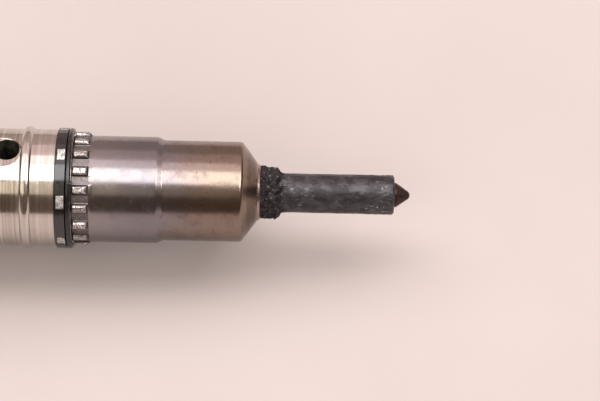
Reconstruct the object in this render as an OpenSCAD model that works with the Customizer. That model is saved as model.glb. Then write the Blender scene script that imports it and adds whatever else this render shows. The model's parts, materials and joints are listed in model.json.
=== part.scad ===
// Common-rail diesel fuel injector, solenoid operated, with a side fuel inlet.
// The axis of the injector is X, with the nozzle tip towards +X. It lies with its fuel inlet upwards (+Z).
// The origin is on the axis, where the nozzle cap nut's lower cylinder ends and its nose starts.
// A station is a place along X. An angle is measured round X, from straight up (+Z) towards the front (-Y).

/* [Nozzle] */
// Diameter of the slim nozzle stem
stem_d = 7.0; // [6.6:0.1:7.4]
// Length of the stem, from its root collar to its end face
stem_len = 20.9; // [18:0.1:26]
// Diameter of the root collar, just outside the cap nut
collar_d = 8.9; // [8.4:0.1:9.0]
// Length of the root collar that shows
collar_len = 3.04; // [2:0.02:4]
// Length of the conical tip
tip_len = 2.8; // [2.6:0.1:3]
// Diameter of the conical tip at its base
tip_d = 4.3; // [4:0.1:4.5]
// Diameter of the needle's guide
needle_d = 4.0; // [3.8:0.1:4.2]
// Number of spray holes
spray_holes = 8; // [5:1:10]

/* [Nozzle cap nut] */
// Diameter of the nut's lower length, which sits in the cylinder head
nut_lower_d = 17.9; // [17.6:0.1:18.6]
// Diameter of the nut's upper length
nut_upper_d = 19.0; // [18.8:0.1:19.4]
// Length of the lower diameter
nut_lower_len = 13.4; // [10:0.2:15]
// Length of the nose, from the lower cylinder to its end
nose_len = 3.8; // [3.5:0.05:4.1]
// Number of wrench teeth
tooth_count = 18; // [16:1:20]
// Diameter over the wrench teeth
tooth_tip_d = 20.4; // [20:0.1:20.8]

/* [Injector body] */
// Diameter of the body next to the cap nut
body_d = 20.9; // [20.5:0.1:21.3]
// Diameter of the guide ridge
ridge_d = 21.9; // [21.6:0.1:22.4]
// Diameter of the middle length
middle_d = 24.8; // [24.4:0.1:25.2]
// Diameter of the upper length, which guides the injector in the cylinder head
upper_d = 26.0; // [25.6:0.1:27]
// Distance across the two clamp flats
clamp_flats = 20.0; // [19:0.5:21]
// Width of the slots for the clamp fork
clamp_slot_w = 12.0; // [8:0.5:13]

/* [Fuel ports] */
// Diameter of the mouth of the fuel inlet
inlet_mouth_d = 6.4; // [5.8:0.1:6.6]
// Diameter of the fuel inlet bore
inlet_bore_d = 3.0; // [2.6:0.1:3.2]
// Diameter of the return port
return_port_d = 2.6; // [2.2:0.1:3]

/* [Seals] */
// Outer diameter of the two lower O-rings, unsqueezed
lower_seal_d = 21.6; // [21.4:0.05:21.7]
// Number of windows in the slotted ring
window_count = 7; // [5:1:7]
// Angle between neighbouring windows
window_pitch = 48; // [46:1:51]

/* [Control valve] */
// Diameter of the control plunger's guide
plunger_d = 4.3; // [4.2:0.1:4.4]
// Diameter of the valve ball
ball_d = 1.35; // [1.2:0.05:1.5]
// Diameter of the armature plate
armature_d = 15.2; // [14:0.1:16]

/* [Solenoid and terminals] */
// Distance across the flats of the solenoid nut
solenoid_nut_af = 26.4; // [26.2:0.1:27]
// Diameter of the connector cap
cap_d = 22.4; // [22:0.1:23.4]
// Distance between the two terminal studs
stud_spacing = 11.0; // [10.4:0.1:11.4]
// Thread diameter of the terminal studs
stud_d = 4; // [3.9:0.02:4.1]

/* [Hidden] */
$fn = 96;

// Colours
bright_steel = [0.74, 0.72, 0.70];
heated_steel = [0.56, 0.50, 0.46];
soot = [0.17, 0.15, 0.16];
hard_steel = [0.62, 0.63, 0.65];
spring_steel = [0.36, 0.37, 0.40];
black_rubber = [0.06, 0.06, 0.06];
black_plastic = [0.09, 0.09, 0.10];
brass = [0.80, 0.64, 0.34];
copper = [0.78, 0.42, 0.24];
core_iron = [0.40, 0.40, 0.42];

// Working clearances, per side
running_gap = 0.015;
thread_gap = 0.05;
easy_gap = 0.1;
contact_gap = 0.005;

// Stations of the nozzle end
collar_end = nose_len + collar_len;
stem_end = collar_end + stem_len;
tip_end = stem_end + tip_len;
tip_round = 0.9;
tip_half_angle = 35;
stem_chamfer = 0.3;
tip_foot = tip_end - tip_round * (1 - sin(tip_half_angle))
    - (tip_d / 2 - tip_round * cos(tip_half_angle)) / tan(tip_half_angle);
nut_shoulder = -3;
flange_back = -17;
plate_back = -21;
nut_end = -29.43;
groove_back = -32.27;
flange_d = 14.3;

// Nozzle bore, from the back face to the sac
gallery_front = -5;
gallery_back = -9;
gallery_r = 3.9;
seat_half_angle = 30;
seat_r = 1.9;
sac_r = 0.45;
sac_start = stem_end + 0.3;
seat_start = sac_start - (seat_r - sac_r) / tan(seat_half_angle);
sac_end = sac_start + 1.2;
needle_shaft_r = 1.45;
needle_travel = 0.3;
needle_top = flange_back + needle_travel + contact_gap;
spigot_r = 1.4;
spigot_end = -23.6;
feed_r = 0.6;
feed_radius = 3.6;
feed_angles = [60, 180, 300];
dowel_r = 0.75;
dowel_radius = 5.7;
dowel_angles = [80, 280];

// Cap nut
nut_bore_r = flange_d / 2 + easy_gap;
nose_bore_r = collar_d / 2 + 0.15;
nut_thread_r = 8.3;
nut_step = 1.1;
nut_round = 1;
nose_lip = 0.45;
tooth_front = -26.32;
tooth_back = -29.14;
tooth_top_half = 2.75;
tooth_foot_half = 5.5;

// Body stations, from the nozzle end to the top
ridge_front = -36.6;
ridge_back = -38.5;
inlet_station = -41.6;
inlet_mouth_depth = 0.6;
inlet_seat_r = 2.5;
inlet_seat_half_angle = 30;
gallery_seal = -50;
body_taper = -57;
middle_start = -59.3;
return_station = -62.5;
return_angle = 45;
return_radius = 8;
return_drill_r = 0.8;
upper_seal = -67.6;
upper_start = -70;
relief_front = -94;
relief_back = -96;
relief_depth = 0.4;
clamp_shoulder = -98;
upper_end = -116;
body_top = -128;

// Body bores
accumulator_r = 4.6;
spring_ledge = -52;
plunger_way_r = 2.8;
annulus_start = -101;
annulus_r = 5.2;
valve_ledge = -113;
valve_chamber_r = 6.5;

// Seals
seal_tube_r = 0.5;
seal_groove_r = lower_seal_d / 2 - 2 * seal_tube_r;
seal_groove_w = 1.4;
upper_seal_tube_r = 0.75;
upper_groove_r = 11.4;
upper_groove_w = 2;
sleeve_seal_radius = 10;
sleeve_seal_tube_r = 0.6;
sleeve_groove_depth = 2 * sleeve_seal_tube_r + 0.04;
first_window = -44;
window_span = 13;
ring_front = -30.47;
ring_back = -32.25;
window_front = -30.55;
window_back = -32;

// Control valve stations
plunger_top = -110;
chamber_top = -111.5;
flange_front = valve_ledge - 0.3;
valve_flange_back = -117;
boss_top = -120;
ball_seat_apex = -119.3;
ball_seat_half_angle = 60;
ball_station = ball_seat_apex - (ball_d / 2 + contact_gap) / sin(ball_seat_half_angle);
retainer_front = -120.3;
retainer_back = -122;
clamp_nut_back = -121;
guide_front = -121.6;
guide_flange_back = -123.6;
guide_back = -127.2;
pin_r = 1.495;
plate_front = -128.6;
plate_top = -130.38;
clip_front = -130.4;
clip_back = -131;
pin_top = -132.2;

// Solenoid stations
pole_face = -130.55;
slot_end = -138.6;
core_hole_end = -140.6;
core_back = -142;
core_r = 8.6;
core_hole_r = 3.2;
slot_in_r = 4.4;
slot_out_r = 7;
sleeve_flange_back = -131.5;
sleeve_top = -148;
sleeve_r = 10.2;
solenoid_nut_front = -116.5;
solenoid_nut_back = -134.5;
body_thread_r = 11.2;

// Connector and terminals
cap_front = -140;
cap_back = -154;
tower_back = -158;
stud_foot = -150;
seat_back = -158.8;
washer_back = -159.2;
terminal_nut_back = -162.4;
stud_top = -172;
stud_root_r = stud_d / 2 - 0.35;
terminal_nut_af = 7;
lead_r = 0.4;

// ---- Shapes used by many parts ----

// Turns an outline of [station, radius] points about the injector's axis.
module turned(outline)
    rotate([0, 90, 0])
        rotate_extrude()
            polygon([for (p = outline) [p[1], p[0]]]);

// A plain round bar between two stations.
module rod(from, to, r)
    translate([min(from, to), 0, 0])
        rotate([0, 90, 0])
            cylinder(h = abs(to - from), r = r);

// A plain ring between two stations.
module ring(from, to, inner_r, outer_r)
    turned([[from, inner_r], [from, outer_r], [to, outer_r], [to, inner_r]]);

// An O-ring, centred on a station.
module o_ring(station, radius, tube_r)
    translate([station, 0, 0])
        rotate([0, 90, 0])
            rotate_extrude()
                translate([radius, 0])
                    circle(r = tube_r, $fn = 48);

// Turns its children, built straight up (+Z), to an angle round the axis.
module at_angle(angle)
    rotate([angle, 0, 0])
        children();

// A drilling across the axis, straight up.
module radial_drill(station, r, from_z, to_z)
    translate([station, 0, from_z])
        cylinder(h = to_z - from_z, r = r);

// Drillings parallel to the axis, on a circle.
module axial_drills(from, to, r, radius, angles)
    for (a = angles)
        at_angle(a)
            translate([0, 0, radius])
                rod(from, to, r);

// Points on an arc, as [station, radius], for a rounded end of a turned outline.
function arc(station, radius, r, from, to, steps) =
    [for (i = [0 : steps]) let (a = from + (to - from) * i / steps)
        [station + r * cos(a), radius + r * sin(a)]];

// A slice of a ring, as wide as an angle, about straight up.
module sector(from, to, inner_r, outer_r, span)
    at_angle(-span / 2)
        rotate([0, 90, 0])
            translate([0, 0, min(from, to)])
                rotate_extrude(angle = span, start = 180)
                    translate([inner_r, 0])
                        square([outer_r - inner_r, abs(to - from)]);

// A coil spring with a closed turn at each end, swept as one polyhedron.
module coil_spring(from, to, mean_r, wire_r, turns, per_turn = 16, sides = 8) {
    low = min(from, to) + wire_r;
    rise = abs(to - from) - 2 * wire_r;
    end_rise = 2.16 * wire_r;
    rings = turns * per_turn;
    function climb(t) =
        t < 1 ? end_rise * t :
        t > turns - 1 ? rise - end_rise * (turns - t) :
        end_rise + (rise - 2 * end_rise) * (t - 1) / (turns - 2);
    points = [for (i = [0 : rings], k = [0 : sides - 1])
        let (t = i / per_turn, a = 360 * t, b = 360 * k / sides, r = mean_r + wire_r * cos(b))
            [low + climb(t) + wire_r * sin(b), r * sin(a), r * cos(a)]];
    walls = [for (i = [0 : rings - 1], k = [0 : sides - 1])
        let (n = (k + 1) % sides)
            [i * sides + k, (i + 1) * sides + k, (i + 1) * sides + n, i * sides + n]];
    first_cap = [for (k = [0 : sides - 1]) k];
    last_cap = [for (k = [sides - 1 : -1 : 0]) rings * sides + k];
    polyhedron(points = points, faces = concat([first_cap], walls, [last_cap]));
}

// A hexagonal bar along the axis, with two flats facing up and down.
module hex_bar(from, to, across_flats)
    translate([min(from, to), 0, 0])
        rotate([30, 0, 0])
            rotate([0, 90, 0])
                cylinder(h = abs(to - from), r = across_flats / sqrt(3), $fn = 6);

// ---- Nozzle ----

// Outline of the nozzle's outside, from the tip back to the flange.
function nozzle_outline() = concat(
    arc(tip_end - tip_round, 0, tip_round, 0, 90 - tip_half_angle, 8),
    [[tip_foot, tip_d / 2], [stem_end, tip_d / 2], [stem_end, stem_d / 2 - stem_chamfer],
     [stem_end - stem_chamfer, stem_d / 2], [collar_end, stem_d / 2],
     [collar_end, collar_d / 2 - 0.2], [collar_end - 0.2, collar_d / 2],
     [nut_shoulder, collar_d / 2], [nut_shoulder, flange_d / 2 - 0.3],
     [nut_shoulder - 0.3, flange_d / 2], [flange_back, flange_d / 2], [flange_back, 0]]);

// Needle bore, fuel gallery, seat cone and sac.
module nozzle_bore() {
    rod(flange_back - 1, gallery_back, needle_d / 2);
    rod(gallery_back, gallery_front, gallery_r);
    turned([[gallery_front - 0.1, 0], [gallery_front - 0.1, seat_r], [seat_start, seat_r],
        [sac_start, sac_r], [sac_end - sac_r, sac_r], [sac_end - 0.1, 0.2], [sac_end - 0.1, 0]]);
    axial_drills(flange_back - 1, gallery_back + 0.5, feed_r, feed_radius, feed_angles);
}

module nozzle_body()
    color(soot)
        difference() {
            turned(nozzle_outline());
            nozzle_bore();
            axial_drills(flange_back - 1, flange_back + 2.6, dowel_r + 0.02, dowel_radius, dowel_angles);
            for (i = [0 : spray_holes - 1])
                at_angle(360 * i / spray_holes)
                    translate([sac_start + 0.55, 0, 0])
                        rotate([0, 17, 0])
                            cylinder(h = 3, r = 0.1, $fn = 24);
        }

module nozzle_needle()
    color(hard_steel)
        turned([[sac_start, 0], [sac_start, sac_r - contact_gap * 2],
            [seat_start + (seat_r - needle_shaft_r) / tan(seat_half_angle) - contact_gap * 2, needle_shaft_r],
            [gallery_back + 1.4, needle_shaft_r], [gallery_back - 0.2, needle_d / 2 - running_gap],
            [needle_top, needle_d / 2 - running_gap], [needle_top, spigot_r],
            [spigot_end, spigot_r], [spigot_end, 0]]);

module spacer_plate()
    color(hard_steel)
        difference() {
            ring(plate_back, flange_back, spigot_r + 0.35, flange_d / 2);
            axial_drills(plate_back - 1, flange_back + 1, feed_r, feed_radius, feed_angles);
            axial_drills(plate_back - 1, flange_back + 1, dowel_r + 0.02, dowel_radius, dowel_angles);
        }

module dowel_pins()
    color(hard_steel)
        axial_drills(plate_back - 2.4, flange_back + 2.4, dowel_r, dowel_radius, dowel_angles);

module nozzle_cap_nut()
    color(heated_steel)
        union() {
            turned(concat(
                [[nose_len, nose_bore_r], [nose_len, nose_bore_r + 0.25],
                 [nose_len - nose_lip, nose_bore_r + 0.5]],
                arc(0, nut_lower_d / 2 - nut_round, nut_round, 35, 90, 6),
                [[-nut_lower_len, nut_lower_d / 2], [-nut_lower_len - nut_step, nut_upper_d / 2],
                 [nut_end + 0.25, nut_upper_d / 2], [nut_end, nut_upper_d / 2 - 0.25],
                 [nut_end, nut_thread_r], [plate_back + 1, nut_thread_r],
                 [plate_back + 1.6, nut_bore_r], [nut_shoulder, nut_bore_r],
                 [nut_shoulder, nose_bore_r]]));
            wrench_teeth();
        }

// Teeth for a splined socket, with ends chamfered towards the nozzle.
module wrench_teeth() {
    foot_r = nut_upper_d / 2 - 0.3;
    tip_r = tooth_tip_d / 2;
    foot = foot_r * sin(tooth_foot_half);
    top = (tip_r + 0.2) * sin(tooth_top_half);
    intersection() {
        for (i = [0 : tooth_count - 1])
            at_angle(360 * i / tooth_count)
                rotate([0, 90, 0])
                    translate([0, 0, tooth_back])
                        linear_extrude(height = tooth_front - tooth_back)
                            polygon([[-foot_r, -foot], [-foot_r, foot],
                                [-tip_r - 0.2, top], [-tip_r - 0.2, -top]]);
        turned([[tooth_back, nut_thread_r + 0.3], [tooth_back, tip_r - 0.15], [tooth_back + 0.15, tip_r],
            [tooth_front - tip_r + nut_upper_d / 2, tip_r], [tooth_front, nut_upper_d / 2],
            [tooth_front, nut_thread_r + 0.3]]);
    }
}

// ---- Needle spring and control plunger ----

module spring_collar()
    color(hard_steel)
        turned([[plate_back - 0.6, 1.42], [plate_back - 0.6, 2.6], [-24.6, 2.6], [-24.6, 4.25],
            [-26.2, 4.25], [-26.2, plunger_d / 2 + 0.05], [-25, plunger_d / 2 + 0.05], [-25, 0],
            [spigot_end - 0.05, 0], [spigot_end - 0.05, 1.42]]);

module nozzle_spring()
    color(spring_steel)
        coil_spring(spring_ledge + 1.22, -26.22, 3.5, 0.7, 9);

module spring_shim()
    color(hard_steel)
        ring(spring_ledge, spring_ledge + 1.2, 2.5, accumulator_r - 0.15);

module control_plunger()
    color(hard_steel)
        turned([[-25.02, 0], [-25.02, plunger_d / 2 - 0.2], [-25.22, plunger_d / 2], [-28, plunger_d / 2],
            [-28.6, 1.9], [-99, 1.9], [-99.6, plunger_d / 2], [plunger_top + 0.2, plunger_d / 2],
            [plunger_top, plunger_d / 2 - 0.2], [plunger_top, 0]]);

// ---- Injector body ----

// The body's outside: threaded end, seal groove, slim length with its ridge, middle and upper lengths.
function body_outline() = [
    [plate_back, 0], [plate_back, nut_thread_r - thread_gap - 0.3],
    [plate_back - 0.3, nut_thread_r - thread_gap], [nut_end + 0.4, nut_thread_r - thread_gap],
    [nut_end + 0.4, nut_thread_r - 0.3], [nut_end - 0.02, nut_thread_r - 0.3],
    [nut_end - 0.02, seal_groove_r], [groove_back, seal_groove_r],
    [groove_back, body_d / 2 - 0.15], [groove_back - 0.15, body_d / 2],
    [ridge_front, body_d / 2], [ridge_front - 0.45, ridge_d / 2],
    [ridge_back + 0.45, ridge_d / 2], [ridge_back, body_d / 2],
    [gallery_seal + seal_groove_w / 2, body_d / 2], [gallery_seal + seal_groove_w / 2, seal_groove_r],
    [gallery_seal - seal_groove_w / 2, seal_groove_r], [gallery_seal - seal_groove_w / 2, body_d / 2],
    [body_taper, body_d / 2], [middle_start, middle_d / 2],
    [upper_seal + upper_groove_w / 2, middle_d / 2], [upper_seal + upper_groove_w / 2, upper_groove_r],
    [upper_seal - upper_groove_w / 2, upper_groove_r], [upper_seal - upper_groove_w / 2, middle_d / 2],
    [upper_start, middle_d / 2], [upper_start - 0.6, upper_d / 2],
    [relief_front, upper_d / 2], [relief_front - relief_depth, upper_d / 2 - relief_depth],
    [relief_back + relief_depth, upper_d / 2 - relief_depth], [relief_back, upper_d / 2],
    [upper_end + 0.4, upper_d / 2], [upper_end, upper_d / 2 - 0.4],
    [upper_end, body_thread_r - 0.6], [upper_end - 1.6, body_thread_r - 0.6],
    [upper_end - 2.2, body_thread_r], [body_top + 0.5, body_thread_r],
    [body_top, body_thread_r - 0.5], [body_top, 0]];

// The bores along the axis, from the spring chamber to the valve chamber.
module body_bores()
    turned([[plate_back + 1, 0], [plate_back + 1, accumulator_r], [spring_ledge, accumulator_r],
        [spring_ledge, plunger_way_r], [annulus_start, plunger_way_r], [annulus_start, annulus_r],
        [valve_ledge, annulus_r], [valve_ledge, valve_chamber_r], [body_top - 1, valve_chamber_r],
        [body_top - 1, 0]]);

// Fuel inlet: a shallow mouth with a flat floor, a sealing cone and the bore to the spring chamber.
module fuel_inlet() {
    mouth_floor = body_d / 2 - inlet_mouth_depth;
    seat_depth = (inlet_seat_r - inlet_bore_d / 2) / tan(inlet_seat_half_angle);
    radial_drill(inlet_station, inlet_bore_d / 2, 0, body_d / 2);
    translate([inlet_station, 0, mouth_floor - seat_depth])
        cylinder(h = seat_depth, r1 = inlet_bore_d / 2, r2 = inlet_seat_r);
    radial_drill(inlet_station, inlet_mouth_d / 2, mouth_floor, body_d / 2 + 1);
}

// Fuel return: a drilling from the top face, and the port that it leaves by.
module fuel_return()
    at_angle(return_angle) {
        translate([0, 0, return_radius])
            rod(body_top - 1, return_station, return_drill_r);
        radial_drill(return_station, return_port_d / 2, return_radius, middle_d / 2 + 1);
    }

// Slots for the fork that clamps the injector down.
module clamp_slots()
    for (side = [-1, 1])
        translate([clamp_shoulder - clamp_slot_w, side > 0 ? clamp_flats / 2 : -upper_d, -upper_d])
            cube([clamp_slot_w, upper_d - clamp_flats / 2, 2 * upper_d]);

// Lugs in the seal groove, which stand in the windows of the slotted ring.
module window_lugs()
    for (i = [0 : window_count - 1])
        at_angle(first_window + i * window_pitch)
            sector(window_back, window_front, seal_groove_r - 0.3, lower_seal_d / 2 - 0.08, window_span - 0.5);

module injector_body()
    color(bright_steel)
        difference() {
            union() {
                turned(body_outline());
                window_lugs();
            }
            body_bores();
            fuel_inlet();
            fuel_return();
            clamp_slots();
            axial_drills(plate_back - 2.5, plate_back + 1, dowel_r + 0.02, dowel_radius, dowel_angles);
        }

// ---- Seals on the body ----

module nut_o_ring()
    color(black_rubber)
        o_ring(nut_end - seal_tube_r - 0.03, seal_groove_r + seal_tube_r, seal_tube_r);

module gallery_o_ring()
    color(black_rubber)
        o_ring(gallery_seal, seal_groove_r + seal_tube_r, seal_tube_r);

module upper_o_ring()
    color(black_rubber)
        o_ring(upper_seal, upper_groove_r + upper_seal_tube_r, upper_seal_tube_r);

// A split ring with windows, which backs up the O-ring next to the cap nut.
module slotted_ring()
    color(black_plastic)
        difference() {
            ring(ring_back, ring_front, seal_groove_r + 0.02, lower_seal_d / 2 - 0.04);
            for (i = [0 : window_count - 1])
                at_angle(first_window + i * window_pitch)
                    sector(window_back - 0.02, window_front + 0.02,
                        seal_groove_r - 1, lower_seal_d / 2 + 1, window_span);
            at_angle(first_window - 36)
                translate([ring_back - 1, -0.2, 0])
                    cube([ring_front - ring_back + 2, 0.4, lower_seal_d]);
        }

// ---- Control valve ----

module valve_body()
    color(hard_steel)
        difference() {
            turned([[annulus_start - 2, 0], [annulus_start - 2, 4.2], [annulus_start - 2.2, 4.4],
                [flange_front, 4.4], [flange_front, 6.4], [valve_flange_back, 6.4],
                [valve_flange_back, 3.4], [boss_top, 3.4], [boss_top, 0]]);
            rod(annulus_start - 1, chamber_top, plunger_d / 2 + running_gap);
            rod(chamber_top + 0.1, -116, 0.15);
            rod(-115.9, ball_seat_apex + 0.3, 0.25);
            translate([ball_seat_apex, 0, 0])
                rotate([0, -90, 0])
                    cylinder(h = 1, r1 = 0, r2 = tan(ball_seat_half_angle));
            rod(ball_seat_apex + 0.4, ball_seat_apex - 0.05, 0.25);
            radial_drill(chamber_top + 0.6, 0.15, 0, 6);
        }

module valve_seal_ring()
    color(copper)
        ring(flange_front, valve_ledge, annulus_r + 0.1, 6.3);

// A ring nut with two slots for a pin wrench.
module slotted_ring_nut(from, to, inner_r)
    difference() {
        ring(from, to, inner_r, valve_chamber_r - thread_gap);
        for (a = [0, 180])
            at_angle(a)
                translate([min(from, to) - 0.01, -0.8, inner_r - 1])
                    cube([1.2, 1.6, valve_chamber_r]);
    }

module valve_clamp_nut()
    color(spring_steel)
        slotted_ring_nut(clamp_nut_back, valve_flange_back - 0.02, 3.6);

module valve_ball()
    color(bright_steel)
        translate([ball_station, 0, 0])
            sphere(d = ball_d);

module ball_retainer()
    color(hard_steel)
        difference() {
            turned([[retainer_front, 0], [retainer_front, 1.4], [retainer_front - 0.2, 1.6],
                [retainer_back, 1.6], [retainer_back, 0]]);
            translate([ball_station, 0, 0])
                sphere(r = ball_d / 2 + running_gap);
        }

module lift_shim()
    color(hard_steel)
        ring(guide_front + 0.01, clamp_nut_back - 0.01, 4.2, 6.3);

module armature_guide()
    color(hard_steel)
        difference() {
            turned([[guide_front, 0], [guide_front, 6.4], [guide_flange_back, 6.4],
                [guide_flange_back, 2.6], [guide_back, 2.6], [guide_back, 0]]);
            rod(guide_front + 1, guide_back - 1, pin_r + running_gap);
            rod(guide_front + 1, guide_front - 1.1, 2);
            axial_drills(guide_front + 1, guide_flange_back - 1, 0.6, 3.5, [45, 135, 225, 315]);
        }

module armature_clamp_nut()
    color(spring_steel)
        slotted_ring_nut(-126.2, guide_flange_back - 0.01, 4.4);

module armature_pin()
    color(hard_steel)
        turned([[retainer_back - 0.01, 0], [retainer_back - 0.01, pin_r - 0.2], [retainer_back - 0.21, pin_r],
            [clip_front, pin_r], [clip_front, 1.1], [clip_back, 1.1], [clip_back, 2.6],
            [pin_top, 2.6], [pin_top, 0]]);

module armature_plate()
    color(core_iron)
        difference() {
            ring(plate_top, plate_front, pin_r + running_gap, armature_d / 2);
            for (a = [0, 120, 240])
                at_angle(a)
                    translate([plate_top - 1, -0.6, 4.6])
                        cube([4, 1.2, armature_d]);
        }

module armature_clip()
    color(spring_steel)
        difference() {
            ring(clip_back + 0.01, clip_front - 0.01, 1.12, 2.9);
            translate([clip_back - 1, -1.12, 0])
                cube([3, 2.24, 4]);
        }

module armature_spring()
    color(spring_steel)
        coil_spring(plate_front + 0.02, guide_flange_back - 0.02, 3.3, 0.3, 4, 14);

// ---- Solenoid ----

module solenoid_core()
    color(core_iron)
        difference() {
            ring(core_back, pole_face, 1.5, core_r);
            rod(core_hole_end, pole_face + 1, core_hole_r);
            ring(slot_end, pole_face + 1, slot_in_r, slot_out_r);
            for (side = [-1, 1])
                translate([0, side * stud_spacing / 2, 0])
                    rod(core_back - 1, slot_end + 1, 0.9);
        }

module coil_bobbin()
    color(black_plastic)
        difference() {
            turned([[-131.2, 4.45], [-131.2, 6.95], [-131.65, 6.95], [-131.65, 4.9],
                [-138.05, 4.9], [-138.05, 6.95], [-138.5, 6.95], [-138.5, 4.45]]);
            for (side = [-1, 1])
                translate([0, side * stud_spacing / 2, 0])
                    rod(-139, -137.9, lead_r + 0.05);
        }

module coil_winding()
    color(copper)
        ring(-138.04, -131.66, 4.92, 6.7);

module coil_leads()
    color(copper)
        for (side = [-1, 1])
            translate([0, side * stud_spacing / 2, 0])
                rod(stud_foot + 0.02, -138.06, lead_r);

module valve_spring()
    color(spring_steel)
        coil_spring(-139.78, pin_top - 0.02, 2, 0.45, 6, 14);

module preload_shim()
    color(hard_steel)
        ring(core_hole_end + 0.01, -139.8, 1.6, 3.1);

module solenoid_sleeve()
    color(bright_steel)
        difference() {
            turned([[body_top, core_r + 0.05], [body_top, 11.1], [sleeve_flange_back, 11.1],
                [sleeve_flange_back, sleeve_r], [sleeve_top, sleeve_r], [sleeve_top, core_r + 0.05]]);
            ring(body_top - sleeve_groove_depth, body_top + 1, sleeve_seal_radius - 0.65,
                sleeve_seal_radius + 0.65);
        }

module sleeve_o_ring()
    color(black_rubber)
        o_ring(body_top - sleeve_groove_depth / 2, sleeve_seal_radius, sleeve_seal_tube_r);

module solenoid_nut()
    color(bright_steel)
        difference() {
            intersection() {
                hex_bar(solenoid_nut_back, solenoid_nut_front, solenoid_nut_af);
                turned([[solenoid_nut_front, 0], [solenoid_nut_front, 13.2], [solenoid_nut_front - 1.1, 15.1],
                    [-130.4, 15.1], [-132, 13], [solenoid_nut_back, 12.2], [solenoid_nut_back, 0]]);
            }
            turned([[solenoid_nut_front + 1, 0], [solenoid_nut_front + 1, body_thread_r + thread_gap],
                [sleeve_flange_back - 0.01, body_thread_r + thread_gap],
                [sleeve_flange_back - 0.01, sleeve_r + easy_gap],
                [solenoid_nut_back - 1, sleeve_r + easy_gap], [solenoid_nut_back - 1, 0]]);
        }

// ---- Connector ----

// The moulded cap: a skirt over the sleeve, a plug inside it, and a tower round each stud.
module connector_cap()
    color(black_plastic)
        difference() {
            union() {
                turned([[core_back - 0.01, 0], [core_back - 0.01, core_r], [sleeve_top - 0.01, core_r],
                    [sleeve_top - 0.01, sleeve_r + 0.02], [cap_front, sleeve_r + 0.02],
                    [cap_front, cap_d / 2 - 0.3], [cap_front - 0.3, cap_d / 2],
                    [cap_back + 0.8, cap_d / 2], [cap_back, cap_d / 2 - 0.8], [cap_back, 0]]);
                for (side = [-1, 1])
                    translate([0, side * stud_spacing / 2, 0])
                        rod(tower_back, cap_back + 1, 4.4);
                translate([tower_back + 0.6, -stud_spacing / 2, -1])
                    cube([cap_back - tower_back + 0.4, stud_spacing, 2]);
            }
            for (side = [-1, 1])
                translate([0, side * stud_spacing / 2, 0]) {
                    rod(tower_back - 1, stud_foot, 2.6);
                    rod(stud_foot - 1, core_back + 1, lead_r + 0.05);
                }
        }

module terminal_studs()
    color(brass)
        for (side = [-1, 1])
            translate([0, side * stud_spacing / 2, 0])
                turned([[stud_foot, 0], [stud_foot, 2.58], [tower_back - 0.01, 2.58],
                    [tower_back - 0.01, 3.4], [seat_back, 3.4], [seat_back, stud_root_r],
                    [terminal_nut_back, stud_root_r], [terminal_nut_back - 0.35, stud_d / 2],
                    [stud_top + 0.4, stud_d / 2], [stud_top, stud_d / 2 - 0.4], [stud_top, 0]]);

module terminal_washers()
    color(bright_steel)
        for (side = [-1, 1])
            translate([0, side * stud_spacing / 2, 0])
                ring(washer_back, seat_back - 0.01, stud_d / 2 + easy_gap, 4.2);

module terminal_nuts()
    color(brass)
        for (side = [-1, 1])
            translate([0, side * stud_spacing / 2, 0])
                difference() {
                    intersection() {
                        hex_bar(terminal_nut_back, washer_back - 0.01, terminal_nut_af);
                        turned([[washer_back, 0], [washer_back, 3.6], [washer_back - 0.5, 4.1],
                            [terminal_nut_back + 0.5, 4.1], [terminal_nut_back, 3.6], [terminal_nut_back, 0]]);
                    }
                    rod(terminal_nut_back - 1, washer_back + 1, stud_root_r + 0.03);
                }

nozzle_body();
nozzle_needle();
nozzle_cap_nut();
spacer_plate();
dowel_pins();
spring_collar();
nozzle_spring();
spring_shim();
injector_body();
nut_o_ring();
slotted_ring();
gallery_o_ring();
upper_o_ring();
control_plunger();
valve_body();
valve_seal_ring();
valve_clamp_nut();
valve_ball();
ball_retainer();
lift_shim();
armature_guide();
armature_clamp_nut();
armature_pin();
armature_plate();
armature_clip();
armature_spring();
solenoid_core();
coil_bobbin();
coil_winding();
valve_spring();
preload_shim();
solenoid_sleeve();
sleeve_o_ring();
solenoid_nut();
connector_cap();
terminal_studs();
terminal_washers();
terminal_nuts();
coil_leads();
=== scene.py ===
"""A used common-rail fuel injector, lying on its side, with its nozzle towards +X.

Lengths are in millimetres until a mesh or an object is made. A station is a place along X.
Angles run round X, from straight up towards the front (-Y), as in the CAD model.
"""
import json
import math

import bmesh
import bpy
from mathutils import Matrix, Vector, noise

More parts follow.
